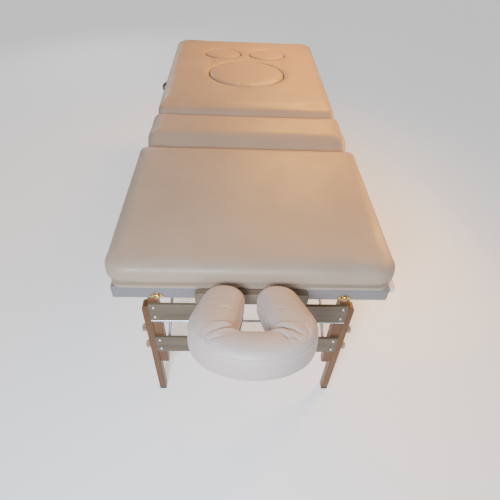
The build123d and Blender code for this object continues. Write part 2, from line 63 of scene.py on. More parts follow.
# ---- sizes ----
DECK_COVER = 0.0085          # how far a cushion's cover reaches down over the edge of its deck
CUSHION_VOXEL, PILLOW_VOXEL = 0.0065, 0.004
CUSHION_CAP, PLUG_CAP, PILLOW_CAP = 0.006, 0.005, 0.008
SIM_FRAMES = 20
CUSHION_PRESSURE, PLUG_PRESSURE, PILLOW_PRESSURE = 2.5, 2.0, 4.0
CUSHION_SMOOTHING, PLUG_SMOOTHING, PILLOW_SMOOTHING = 14, 12, 5
LINER_HALF, LINER_RISE, LINER_DROP = 0.0062, 0.0052, 0.0012   # strip over the back hinges, an arch
LINER_THICKNESS, LINER_MARGIN = 0.0008, 0.012
PLUG_CROWN, PLUG_ROLL = 0.0018, 0.0016
WING_REACH, WING_HEIGHT, ROSETTE_R, LATCH_SCREW_X = 0.0192, 0.0112, 0.0108, 0.0150
SEAM_DEPTH = 0.024           # top seam of the pillow, below its crown
FOOT_SEAM_HEIGHT = 0.008     # lower seam of the pillow, above its foot
CRADLE_TILT = math.radians(22)
PILLOW_SHIFT = -0.006        # the pillow is stuck on by hand, slightly to one side

ENDS = ("head", "foot")
SIDES = (("left", -1), ("right", 1))


# =============================== camera, light and floor ===============================
def place_camera():
    """The photograph's view: from above the head end, looking down along the table."""
    yaw, pitch, roll = math.radians(3.495), math.radians(46.30), math.radians(3.32)
    forward = Vector((math.sin(yaw) * math.cos(pitch), math.cos(yaw) * math.cos(pitch), -math.sin(pitch)))
    right = Vector((math.cos(yaw), -math.sin(yaw), 0))
    up = right.cross(forward)
    x_axis = math.cos(roll) * right + math.sin(roll) * up
    y_axis = math.cos(roll) * up - math.sin(roll) * right
    data = bpy.data.cameras.new("camera")
    data.lens = 29.32
    data.sensor_width = 36
    data.shift_x, data.shift_y = 0.0011, 0.0583
    camera = bpy.data.objects.new("camera", data)
    bpy.context.scene.collection.objects.link(camera)
    turn = Matrix((x_axis, y_axis, -forward)).transposed().to_4x4()
    camera.matrix_world = Matrix.Translation((-0.0521, -1.6463, 1.4336)) @ turn
    bpy.context.scene.camera = camera


def area_light(name, at, target, size, power, colour):
    data = bpy.data.lights.new(name, "AREA")
    data.shape = "DISK"
    data.size = size
    data.energy = power
    data.color = colour
    light = bpy.data.objects.new(name, data)
    light.location = at
    aim = Vector(target) - Vector(at)
    light.rotation_euler = aim.to_track_quat("-Z", "Y").to_euler()
    bpy.context.scene.collection.objects.link(light)


def light_scene():
    """Cool soft light from beside the camera, warm soft light over the foot end, pale surroundings."""
    area_light("key", (-0.35, -2.05, 1.55), (0, -0.80, 0.6), 0.35, 46, (0.72, 0.83, 1.0))
    area_light("warm", (0.35, 0.80, 1.45), (0.0, 0.30, 0.70), 0.6, 23, (1.0, 0.45, 0.03))
    area_light("side", (1.05, -0.1, 1.10), (0.2, -0.3, 0.68), 0.5, 18, (1.0, 0.46, 0.05))
    area_light("back", (-1.6, 3.0, 1.5), (0, 0.5, 0.5), 1.0, 14, (0.86, 0.92, 1.0))
    world = bpy.data.worlds.new("surroundings")
    bpy.context.scene.world = world
    world.use_nodes = True
    background = world.node_tree.nodes["Background"]
    background.inputs["Color"].default_value = (0.97, 0.97, 1.0, 1)
    background.inputs["Strength"].default_value = 0.36


# =============================== materials ===============================
class Shader:
    """A Principled material and short calls for the nodes behind it."""

    def __init__(self, name, **values):
        self.material = bpy.data.materials.new(name)
        self.material.use_nodes = True
        self.tree = self.material.node_tree
        self.surface = self.tree.nodes["Principled BSDF"]
        self.place = self.tree.nodes.new("ShaderNodeTexCoord").outputs["Object"]
        for key, value in values.items():
            self.surface.inputs[key.replace("_", " ")].default_value = value

    def link(self, source, target):
        self.tree.links.new(source, target)

    def stretched(self, scale):
        """Object coordinates scaled by a different factor along each axis."""
        node = self.tree.nodes.new("ShaderNodeMapping")
        node.inputs["Scale"].default_value = scale
        self.link(self.place, node.inputs["Vector"])
        return node.outputs["Vector"]

    def noise(self, scale, detail=2.0, place=None, roughness=0.5, distortion=0.0):
        node = self.tree.nodes.new("ShaderNodeTexNoise")
        node.inputs["Scale"].default_value = scale
        node.inputs["Detail"].default_value = detail
        node.inputs["Roughness"].default_value = roughness
        node.inputs["Distortion"].default_value = distortion
        self.link(place or self.place, node.inputs["Vector"])
        return node.outputs["Fac"]

    def cells(self, scale, place=None, feature="DISTANCE_TO_EDGE"):
        node = self.tree.nodes.new("ShaderNodeTexVoronoi")
        node.feature = feature
        node.inputs["Scale"].default_value = scale
        self.link(place or self.place, node.inputs["Vector"])
        return node.outputs["Distance"]

    def ramp(self, value, *stops):
        """A colour ramp from (position, colour) stops."""
        node = self.tree.nodes.new("ShaderNodeValToRGB")
        points = node.color_ramp.elements
        while len(points) < len(stops):
            points.new(0.5)
        for point, (position, colour) in zip(points, stops):
            point.position = position
            point.color = (*colour, 1)
        self.link(value, node.inputs["Fac"])
        return node.outputs["Color"]

    def span(self, value, low, high, out_low, out_high):
        node = self.tree.nodes.new("ShaderNodeMapRange")
        for key, number in zip(("From Min", "From Max", "To Min", "To Max"), (low, high, out_low, out_high)):
            node.inputs[key].default_value = number
        self.link(value, node.inputs["Value"])
        return node.outputs["Result"]

    def blend(self, factor, first, second, mode="MIX"):
        """Mixes two colours; factor is a socket or a number, each colour a socket or a tuple."""
        node = self.tree.nodes.new("ShaderNodeMix")
        node.data_type = "RGBA"
        node.blend_type = mode
        for socket, value in zip((node.inputs[0], node.inputs[6], node.inputs[7]), (factor, first, second)):
            if isinstance(value, bpy.types.NodeSocket):
                self.link(value, socket)
            elif isinstance(value, tuple):
                socket.default_value = (*value, 1)
            else:
                socket.default_value = value
        return node.outputs[2]

    def bump(self, height, depth, below=None):
        """Relief of a height socket; depth is in metres."""
        node = self.tree.nodes.new("ShaderNodeBump")
        node.inputs["Distance"].default_value = depth
        node.inputs["Strength"].default_value = 1.0
        self.link(height, node.inputs["Height"])
        if below:
            self.link(below, node.inputs["Normal"])
        return node.outputs["Normal"]

    def finish(self, colour=None, roughness=None, normal=None):
        for socket, name in ((colour, "Base Color"), (roughness, "Roughness"), (normal, "Normal")):
            if socket:
                self.link(socket, self.surface.inputs[name])
        return self.material


def vinyl_material(name, pale, shade, grain_depth=0.00009):
    """Soft PU vinyl: pebbled grain, faint mottling, and polish where hands rub it."""
    m = Shader(name, Specular_IOR_Level=0.42, Coat_Weight=0.10, Coat_Roughness=0.38, Sheen_Weight=0.06)
    mottle = m.noise(5.5, 3)
    fine = m.noise(420, 2)
    colour = m.ramp(mottle, (0.32, shade), (0.68, pale))
    crevice = m.ramp(m.cells(780), (0.0, (0.90, 0.885, 0.87)), (0.12, (1, 1, 1)))
    colour = m.blend(0.7, colour, crevice, "MULTIPLY")
    colour = m.blend(m.span(fine, 0.35, 0.65, 0.0, 0.35), colour, shade)
    roughness = m.span(m.noise(9, 4), 0.3, 0.7, 0.40, 0.52)
    relief = m.bump(m.noise(17, 2), 0.0011)
    relief = m.bump(m.ramp(m.cells(780), (0.0, (0, 0, 0)), (0.25, (1, 1, 1))), grain_depth, relief)
    relief = m.bump(fine, grain_depth * 0.6, relief)
    return m.finish(colour, roughness, relief)


def beech_material(name, grain, dark=(0.235, 0.115, 0.048), pale=(0.44, 0.250, 0.118)):
    """Lacquered beech, with the grain along one axis: growth bands, pores and short ray flecks."""
    along = {axis: (n == "XYZ".index(grain)) for n, axis in enumerate("XYZ")}

    def stretch(across, lengthwise):
        return tuple(lengthwise if along[axis] else across for axis in "XYZ")

    m = Shader(name, Specular_IOR_Level=0.30, Coat_Weight=0.08, Coat_Roughness=0.30)
    bands = m.noise(1.0, 3, m.stretched(stretch(46, 2.4)), distortion=0.8)
    fibres = m.noise(1.0, 4, m.stretched(stretch(430, 9)), roughness=0.65)
    flecks = m.cells(1.0, m.stretched(stretch(620, 95)), "F1")
    broad = m.noise(1.0, 1, m.stretched(stretch(7, 0.9)))
    colour = m.ramp(bands, (0.30, dark), (0.50, tuple((a + b) / 2 for a, b in zip(dark, pale))), (0.70, pale))
    colour = m.blend(m.span(fibres, 0.35, 0.70, 0.0, 0.55), colour, dark)
    colour = m.blend(m.span(flecks, 0.0, 0.22, 0.60, 0.0), colour, tuple(0.55 * c for c in dark))
    colour = m.blend(m.span(broad, 0.35, 0.65, 0.0, 0.35), colour, tuple(1.12 * c for c in pale))
    roughness = m.span(fibres, 0.3, 0.7, 0.34, 0.50)
    relief = m.bump(fibres, 0.00012)
    relief = m.bump(flecks, 0.00006, relief)
    return m.finish(colour, roughness, relief)


def plywood_material():
    """Birch plywood: a pale face with long cathedral grain, and thin darker glue lines at the edges."""
    m = Shader("plywood", Specular_IOR_Level=0.35)
    figure = m.noise(1.0, 2, m.stretched((22, 2.2, 22)), distortion=1.6)
    fibres = m.noise(1.0, 4, m.stretched((380, 12, 380)))
    colour = m.ramp(figure, (0.35, (0.40, 0.265, 0.140)), (0.62, (0.55, 0.395, 0.225)))
    colour = m.blend(m.span(fibres, 0.4, 0.7, 0.0, 0.4), colour, (0.36, 0.22, 0.11))
    layers = m.tree.nodes.new("ShaderNodeTexWave")
    layers.bands_direction = "Z"
    layers.inputs["Scale"].default_value = 190
    layers.inputs["Distortion"].default_value = 0.4
    m.link(m.place, layers.inputs["Vector"])
    facing = m.tree.nodes.new("ShaderNodeSeparateXYZ")
    m.link(m.tree.nodes.new("ShaderNodeNewGeometry").outputs["Normal"], facing.inputs["Vector"])
    steep = m.tree.nodes.new("ShaderNodeMath")
    steep.operation = "ABSOLUTE"
    m.link(facing.outputs["Z"], steep.inputs[0])
    edge = m.span(steep.outputs["Value"], 0.3, 0.6, 0.75, 0.0)
    edges = m.ramp(layers.outputs["Fac"], (0.25, (0.17, 0.09, 0.04)), (0.45, (0.52, 0.37, 0.21)))
    colour = m.blend(edge, colour, edges)
    relief = m.bump(fibres, 0.00010)
    return m.finish(colour, m.span(fibres, 0.3, 0.7, 0.55, 0.7), relief)


def metal_material(name, bright, dull, rough, brushed=None, depth=0.00004):
    """Metal with cloudy tarnish, fine scratches and, if brushed, lines along one axis."""
    m = Shader(name, Metallic=1.0)
    cloud = m.noise(38, 4)
    colour = m.ramp(cloud, (0.30, dull), (0.62, bright))
    along = tuple(14 if axis == brushed else 900 for axis in "XYZ") if brushed else (260, 260, 260)
    lines = m.noise(1.0, 3, m.stretched(along), roughness=0.6)
    colour = m.blend(m.span(lines, 0.35, 0.75, 0.0, 0.30), colour, dull)
    roughness = m.span(cloud, 0.3, 0.7, rough, rough + 0.16)
    return m.finish(colour, roughness, m.bump(lines, depth))


def plastic_material(name, tone, dull, rough, depth=0.00008):
    """Moulded plastic or rubber: fine spark texture and a few rubbed patches."""
    m = Shader(name, Specular_IOR_Level=0.45)
    spark = m.noise(1500, 2)
    colour = m.blend(m.span(m.noise(30, 3), 0.35, 0.7, 0.0, 1.0), tone, dull)
    colour = m.blend(m.span(spark, 0.4, 0.8, 0.0, 0.4), colour, dull)
    roughness = m.span(m.noise(55, 3), 0.3, 0.7, rough, rough + 0.14)
    return m.finish(colour, roughness, m.bump(spark, depth))


def floor_material():
    m = Shader("floor", Specular_IOR_Level=0.15, Emission_Color=(1, 1, 1, 1), Emission_Strength=0.50)
    colour = m.ramp(m.noise(0.8, 2), (0.3, (0.86, 0.86, 0.87)), (0.7, (0.89, 0.89, 0.90)))
    return m.finish(colour, m.span(m.noise(60, 2), 0.3, 0.7, 0.80, 0.90))


def make_materials():
    return {
        "vinyl": vinyl_material("vinyl", (0.395, 0.298, 0.215), (0.36, 0.268, 0.188)),
        # A paler, pinker copy of the cushion vinyl for the face pillow: painted cool light, as on the end
        # nearest the key light.
        "lit_pale_pillow_vinyl": vinyl_material("lit_pale_pillow_vinyl", (0.49, 0.405, 0.360), (0.45, 0.365, 0.320)),
        # A darker, greyer copy of the cushion vinyl for the end rails: painted shade.
        "rail_vinyl": vinyl_material("rail_vinyl", (0.205, 0.188, 0.182), (0.18, 0.163, 0.157)),
        # A greyer, greener copy of the beech for the leg boards and crosspiece: painted cool light on the
        # wood.
        "flash_lit_grey_beech_x": beech_material("flash_lit_grey_beech_x", "X", (0.092, 0.066, 0.038), (0.172, 0.130, 0.082)),
        "beech_y": beech_material("beech_y", "Y"),
        # A darker, redder copy of the beech for the upper legs and extensions: painted shade on the wood.
        "shaded_dark_beech_z": beech_material("shaded_dark_beech_z", "Z", (0.078, 0.031, 0.009), (0.178, 0.080, 0.026)),
        "plywood": plywood_material(),
        "steel": metal_material("steel", (0.66, 0.68, 0.72), (0.40, 0.42, 0.46), 0.26, "X"),
        "alloy": metal_material("alloy", (0.88, 0.87, 0.93), (0.70, 0.69, 0.76), 0.46, "Y"),
        "brass": metal_material("brass", (0.80, 0.55, 0.17), (0.34, 0.20, 0.06), 0.20),
        "rubber": plastic_material("rubber", (0.030, 0.030, 0.031), (0.055, 0.054, 0.052), 0.60, 0.00015),
        "knob": plastic_material("knob", (0.47, 0.29, 0.17), (0.34, 0.20, 0.11), 0.36),
        "catch": plastic_material("catch", (0.80, 0.66, 0.61), (0.68, 0.54, 0.49), 0.34),
        "handle": vinyl_material("handle_leather", (0.060, 0.042, 0.036), (0.036, 0.025, 0.021), 0.00016),
        "thread": plastic_material("thread", (0.74, 0.69, 0.65), (0.58, 0.53, 0.50), 0.70),
        "dark_thread": plastic_material("dark_thread", (0.13, 0.10, 0.085), (0.07, 0.05, 0.045), 0.75),
        "floor": floor_material(),
    }


materials = make_materials()


def node_finish(name):
    """The material of a CAD node that is carried over as it is."""
    # The end rails get the vinyl copy with painted shade.
    if name.endswith("end_rail"):
        return "rail_vinyl"
    if name.endswith(("frame_rails", "back_prop", "prop_racks")):
        return "beech_y"
    # The leg boards and crosspiece get the beech copy with painted cool light.
    if name.endswith(("leg_boards", "crosspiece")):
        return "flash_lit_grey_beech_x"
    # The upper legs and extensions get the beech copy with painted shade.
    if name.endswith(("upper_legs", "extension")):
        return "shaded_dark_beech_z"
    if name == "cradle_platform":
        return "plywood"
    if name.endswith("deck"):
        return "vinyl"
    if name.endswith(("brackets", "hardware")):
        return "steel"
    if "stay" in name or name == "cradle_posts":
        return "alloy"
    if "hinge" in name or "latch" in name:
        return "brass"
    if name.endswith("_foot"):
        return "rubber"
    if name.endswith("knob"):
        return "knob"
    if name.endswith("handle"):
        return "handle"
    if name in ("cradle_lever", "back_catch"):
        return "catch"
    return "vinyl"


def paint(piece, finish):
    piece.data.materials.clear()
    piece.data.materials.append(materials[finish])


# =============================== mesh helpers ===============================
def add_piece(name, mesh, finish):
    piece = bpy.data.objects.new(name, mesh)
    bpy.context.scene.collection.objects.link(piece)
    paint(piece, finish)
    return piece


def points_of(mesh):
    flat = np.empty(len(mesh.vertices) * 3)
    mesh.vertices.foreach_get("co", flat)
    return flat.reshape(-1, 3)


def normals_of(mesh):
    flat = np.empty(len(mesh.vertices) * 3)
    mesh.vertex_normals.foreach_get("vector", flat)
    return flat.reshape(-1, 3)


def set_points(mesh, points):
    mesh.vertices.foreach_set("co", points.ravel())
    mesh.update()


def shade_smooth(mesh):
    mesh.polygons.foreach_set("use_smooth", [True] * len(mesh.polygons))


def bake_modifiers(piece):
    """Replaces the piece's mesh by the one its modifiers make, and removes them."""
    done = bpy.data.meshes.new_from_object(piece.evaluated_get(bpy.context.evaluated_depsgraph_get()))
    piece.modifiers.clear()
    piece.data = done
    shade_smooth(done)


def remesh(piece, voxel, smoothing=4):
    cut = piece.modifiers.new("remesh", "REMESH")
    cut.mode = "VOXEL"
    cut.voxel_size = voxel
    soften = piece.modifiers.new("soften", "SMOOTH")
    soften.factor = 0.5
    soften.iterations = smoothing
    bake_modifiers(piece)


def subdivide(piece, smoothing):
    """Eases the small buckles that the simulation leaves, then divides the mesh once."""
    soften = piece.modifiers.new("soften", "SMOOTH")
    soften.factor = 0.5
    soften.iterations = smoothing
    piece.modifiers.new("subdivision", "SUBSURF").levels = 1
    bake_modifiers(piece)


def inflate(piece, pinned, cap, pressure):
    """Swells a cover by cloth simulation. pinned gives 0 to 1 for each point; cap limits the move."""
    scene = bpy.context.scene
    before = points_of(piece.data)
    group = piece.vertex_groups.new(name="pinned")
    for weight in np.unique(np.round(pinned, 1)):
        chosen = np.nonzero(np.round(pinned, 1) == weight)[0]
        group.add([int(n) for n in chosen], float(weight), "REPLACE")
    cloth = piece.modifiers.new("cloth", "CLOTH")
    cloth.settings.quality = 5
    cloth.settings.mass = 0.3
    cloth.settings.tension_stiffness = 15
    cloth.settings.compression_stiffness = 15
    cloth.settings.shear_stiffness = 8
    cloth.settings.bending_stiffness = 1.5
    cloth.settings.use_pressure = True
    cloth.settings.uniform_pressure_force = pressure
    cloth.settings.effector_weights.gravity = 0
    cloth.settings.vertex_group_mass = "pinned"
    cloth.collision_settings.use_collision = False
    cloth.point_cache.frame_start = 1
    cloth.point_cache.frame_end = SIM_FRAMES
    for step in range(1, SIM_FRAMES + 1):
        scene.frame_set(step)
    swollen = piece.evaluated_get(bpy.context.evaluated_depsgraph_get()).to_mesh()
    move = points_of(swollen) - before
    piece.modifiers.clear()
    piece.vertex_groups.clear()
    scene.frame_set(1)
    length = np.linalg.norm(move, axis=1, keepdims=True)
    move *= cap * np.tanh(length / cap) / np.maximum(length, 1e-9)
    set_points(piece.data, before + move)


def nearest_on_path(points, path):
    """Distance from each point to a polyline, and how far along it the nearest place is."""
    best = np.full(len(points), np.inf)
    place = np.zeros(len(points))
    travelled = 0.0
    for start, end in zip(path[:-1], path[1:]):
        way = end - start
        length = np.linalg.norm(way)
        t = np.clip((points - start) @ way / max(length ** 2, 1e-12), 0, 1)
        gap = np.linalg.norm(points - start - t[:, None] * way, axis=1)
        closer = gap < best
        best[closer] = gap[closer]
        place[closer] = travelled + t[closer] * length
        travelled += length
    return best, place / max(travelled, 1e-9)


def press(piece, path, width, depth, taper=True):
    """Pushes the surface in along a path, or out if depth is negative, with a smooth profile."""
    points = points_of(piece.data)
    path = np.array([tuple(p) for p in path], float)
    margin = 4 * width
    near = np.all((points > path.min(0) - margin) & (points < path.max(0) + margin), axis=1)
    chosen = np.nonzero(near)[0]
    if len(chosen) == 0:
        return
    gap, place = nearest_on_path(points[chosen], path)
    push = depth * np.exp(-((gap / width) ** 2))
    if taper:
        push *= np.sin(np.pi * np.clip(place, 0.02, 0.98)) ** 0.6
    points[chosen] -= normals_of(piece.data)[chosen] * push[:, None]
    set_points(piece.data, points)


def section_loops(mesh, at, normal):
    """Closed loops of points where a plane cuts a mesh."""
    bm = bmesh.new()
    bm.from_mesh(mesh)
    bmesh.ops.remove_doubles(bm, verts=bm.verts, dist=1e-6)
    everything = bm.verts[:] + bm.edges[:] + bm.faces[:]
    cut = bmesh.ops.bisect_plane(bm, geom=everything, plane_co=at, plane_no=normal, clear_outer=True)
    rim = {e for e in cut["geom_cut"] if isinstance(e, bmesh.types.BMEdge)}
    loops = []
    while rim:
        edge = rim.pop()
        first, here = edge.verts
        loop = [first.co.copy(), here.co.copy()]
        while True:
            onward = next((e for e in here.link_edges if e in rim), None)
            if onward is None:
                break
            rim.remove(onward)
            here = onward.other_vert(here)
            loop.append(here.co.copy())
        loops.append(loop)
    bm.free()
    return sorted(loops, key=len, reverse=True)


def resample(path, spacing, closed=True):
    """Points at an even spacing along a polyline."""
    points = np.array([tuple(p) for p in path])
    if closed and np.linalg.norm(points[0] - points[-1]) > 1e-6:
        points = np.vstack([points, points[:1]])
    steps = np.linalg.norm(np.diff(points, axis=0), axis=1)
    travelled = np.concatenate([[0], np.cumsum(steps)])
    count = max(int(travelled[-1] / spacing), 2)
    wanted = np.linspace(0, travelled[-1], count + 1)
    return np.array([np.interp(wanted, travelled, points[:, axis]) for axis in range(3)]).T


def surface_of(piece):
    bm = bmesh.new()
    bm.from_mesh(piece.data)
    tree = BVHTree.FromBMesh(bm)
    bm.free()
    return tree


def on_surface(tree, path, lift=0.0):
    """Moves points to the nearest place on a surface, then off it by lift; also gives the normals."""
    moved, normals = [], []
    for point in path:
        place, normal, _, _ = tree.find_nearest(Vector(point))
        moved.append(place + lift * normal)
        normals.append(normal)
    return moved, normals


def skin(bm, rings):
    """Faces between rings of vertices, one ring to the next, and over both ends."""
    sides = len(rings[0])
    for a, b in zip(rings[:-1], rings[1:]):
        for k in range(sides):
            bm.faces.new((a[k], a[(k + 1) % sides], b[(k + 1) % sides], b[k]))
    bm.faces.new(rings[0][::-1])
    bm.faces.new(rings[-1])


def smooth_mesh(name, bm):
    """Turns a bmesh into a smooth-shaded mesh whose faces look outward."""
    bmesh.ops.recalc_face_normals(bm, faces=bm.faces)
    mesh = bpy.data.meshes.new(name)
    bm.to_mesh(mesh)
    bm.free()
    shade_smooth(mesh)
    return mesh


def stitch_mesh(name, path, normals, length=0.0045, gap=0.0022, radius=0.00042):
    """A row of short threads that dip into the surface at both ends."""
    points = np.array([tuple(p) for p in path])
    ups = np.array([tuple(n) for n in normals])
    steps = np.linalg.norm(np.diff(points, axis=0), axis=1)
    travelled = np.concatenate([[0], np.cumsum(steps)])
    bm = bmesh.new()
    sides, rows = 5, 5
    start = 0.0
    while start + length < travelled[-1]:
        rings = []
        for row in range(rows):
            share = row / (rows - 1)
            s = start + share * length
            centre = Vector([np.interp(s, travelled, points[:, a]) for a in range(3)])
            onward = Vector([np.interp(s + 1e-4, travelled, points[:, a]) for a in range(3)])
            up = Vector([np.interp(s, travelled, ups[:, a]) for a in range(3)]).normalized()
            way = (onward - centre).normalized()
            across = way.cross(up).normalized()
            arch = math.sin(math.pi * share)
            centre += up * radius * (1.3 * arch - 0.5)
            thick = radius * (0.55 + 0.45 * arch)
            turns = [2 * math.pi * k / sides for k in range(sides)]
            spokes = [math.cos(turn) * across + math.sin(turn) * up for turn in turns]
            rings.append([bm.verts.new(centre + thick * spoke) for spoke in spokes])
        skin(bm, rings)
        start += length + gap
    return smooth_mesh(name, bm)


def lathe_mesh(name, profile, sides=32, lobes=0, lobe_depth=0.0):
    """Turns (radius, height) points about Z; lobes scallop the rim."""
    bm = bmesh.new()
    widest = max(radius for radius, _ in profile)
    rings = []
    for radius, height in profile:
        ring = []
        for k in range(sides):
            angle = 2 * math.pi * k / sides
            dip = 0.5 - 0.5 * math.cos(lobes * angle) if lobes else 0.0
            r = radius - lobe_depth * dip * (radius / widest) ** 2
            ring.append(bm.verts.new((r * math.cos(angle), r * math.sin(angle), height)))
        rings.append(ring)
    skin(bm, rings)
    return smooth_mesh(name, bm)


# =============================== padded sections ===============================
def shrunk_copy(node, name, finish, inset, drop=0.0):
    """A copy of a CAD solid drawn in by inset all round, its foot lowered over the deck by drop."""
    mesh = nodes[node].data.copy()
    low, high = (np.array(corner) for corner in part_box(node))
    middle, size = (low + high) / 2, high - low
    points = points_of(mesh)
    points[:, :2] = middle[:2] + (points[:, :2] - middle[:2]) * ((size[:2] - 2 * inset) / size[:2])
    rise = (points[:, 2] - low[2]) / size[2]
    points[:, 2] = low[2] - drop + rise * (size[2] + drop - inset)
    set_points(mesh, points)
    return add_piece(name, mesh, finish)


def foot_weight(piece, height=0.004):
    """1 for the points on the underside, 0 above."""
    z = points_of(piece.data)[:, 2]
    return np.where(z < z.min() + height, 1.0, 0.0)


def slab_cushion(node, body, gathers):
    """One section of the table top: swollen vinyl over foam, pulled down over the deck's edge."""
    piece = shrunk_copy(node, node + "_cover", "vinyl", 0.5 * CUSHION_CAP, DECK_COVER)
    remesh(piece, CUSHION_VOXEL)
    inflate(piece, foot_weight(piece), CUSHION_CAP, CUSHION_PRESSURE)
    subdivide(piece, CUSHION_SMOOTHING)
    tuck_foot(piece)
    for gather in gathers:
        press(piece, gather, 0.0028, 0.0011)
    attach(piece, body)
    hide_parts(node)
    return piece


def tuck_foot(piece, reach=0.022, depth=0.0035):
    """Draws the lowest part of the sides in, where the cover is pulled under the deck."""
    points = points_of(piece.data)
    low, high = points.min(0), points.max(0)
    share = np.clip(1 - (points[:, 2] - low[2]) / reach, 0, 1) ** 2
    for axis in range(2):
        for edge, inward in ((low[axis], 1), (high[axis], -1)):
            near = np.clip(1 - np.abs(points[:, axis] - edge) / 0.03, 0, 1)
            points[:, axis] += inward * depth * share * near
    set_points(piece.data, points)


def corner_gathers(node, y_end, radius, count=5):
    """Short upright folds round a rounded corner of a cushion, at both sides of one end."""
    low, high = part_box(node)
    y_edge = low.y if y_end < 0 else high.y
    folds = []
    for side in (-1, 1):
        x_edge = high.x if side > 0 else low.x
        centre = Vector((x_edge - side * radius, y_edge - y_end * radius, 0))
        for n in range(count):
            angle = math.radians(12 + 66 * n / (count - 1))
            out = Vector((side * math.cos(angle), y_end * math.sin(angle), 0))
            foot = centre + out * radius
            top = centre + out * (radius - 0.004)
            height = 0.020 + 0.008 * math.sin(2.4 * n + side)
            folds.append([(foot.x, foot.y, low.z - DECK_COVER), (foot.x, foot.y, low.z + 0.5 * height),
                          (top.x, top.y, low.z + height)])
    return folds


def plug_cushion(node):
    """A removable plug, slightly domed, with a sewn rim."""
    piece = shrunk_copy(node, node + "_cover", "vinyl", 0.5 * PLUG_CAP)
    remesh(piece, 0.0045)
    inflate(piece, foot_weight(piece), PLUG_CAP, PLUG_PRESSURE)
    subdivide(piece, PLUG_SMOOTHING)
    low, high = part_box(node)
    points = points_of(piece.data)
    middle = (np.array(low) + np.array(high)) / 2
    half = (np.array(high) - np.array(low)) / 2
    out = np.linalg.norm((points[:, :2] - middle[:2]) / half[:2], axis=1)
    lid = points[:, 2] > high.z - 0.012
    dome = PLUG_CROWN * np.clip(1 - out[lid] ** 2, 0, 1)
    rolled_edge = PLUG_ROLL * (out[lid] > 0.9) * (out[lid] - 0.9) / 0.1
    points[lid, 2] += dome - rolled_edge
    set_points(piece.data, points)
    rim = resample(section_loops(nodes[node].data, (0, 0, high.z - 0.009), (0, 0, 1))[0], 0.006)
    rim_path, _ = on_surface(surface_of(piece), rim)
    press(piece, rim_path, 0.0016, 0.0008, taper=False)
    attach(piece, node + "_body")
    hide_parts(node)


def groove_liner():
    """The vinyl strip at the bottom of the groove over the back hinges."""
    seam = frame_joint("back_lift")["pos_m"]
    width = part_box("middle_cushion")[1].x - LINER_MARGIN
    columns, rows = 120, 9
    bm = bmesh.new()
    grid = []
    for thinner in (0, LINER_THICKNESS):
        sheet = []
        for c in range(columns + 1):
            x = -width + 2 * width * c / columns
            line = []
            for r in range(rows):
                angle = math.pi * r / (rows - 1)
                y = seam[1] - (LINER_HALF - thinner) * math.cos(angle)
                z = seam[2] - LINER_DROP + (LINER_RISE - thinner) * math.sin(angle)
                line.append(bm.verts.new((x, y, z)))
            sheet.append(line)
        grid.append(sheet)
    for sheet, flip in zip(grid, (False, True)):
        for c in range(columns):
            for r in range(rows - 1):
                a, b = sheet[c], sheet[c + 1]
                quad = (a[r], b[r], b[r + 1], a[r + 1])
                bm.faces.new(quad[::-1] if flip else quad)
    for c in range(columns):
        for r in (0, rows - 1):
            bm.faces.new((grid[0][c][r], grid[0][c + 1][r], grid[1][c + 1][r], grid[1][c][r]))
    for c in (0, columns):
        for r in range(rows - 1):
            bm.faces.new((grid[0][c][r], grid[0][c][r + 1], grid[1][c][r + 1], grid[1][c][r]))
    piece = add_piece("back_groove_liner", smooth_mesh("back_groove_liner", bm), "vinyl")
    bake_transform(piece)


def frame_joint(name):
    return next(j for j in frame["joints"] if j["name"] == name)


# =============================== face pillow ===============================
def cradle_axes():
    """Origin and axes of the tilted plate: across, towards the crown, and out of the plate."""
    origin = Vector(frame_joint("cradle_tilt")["pos_m"])
    out = Vector((0, math.sin(CRADLE_TILT), math.cos(CRADLE_TILT)))
    across = Vector((-1, 0, 0))
    return origin, across, out.cross(across), out


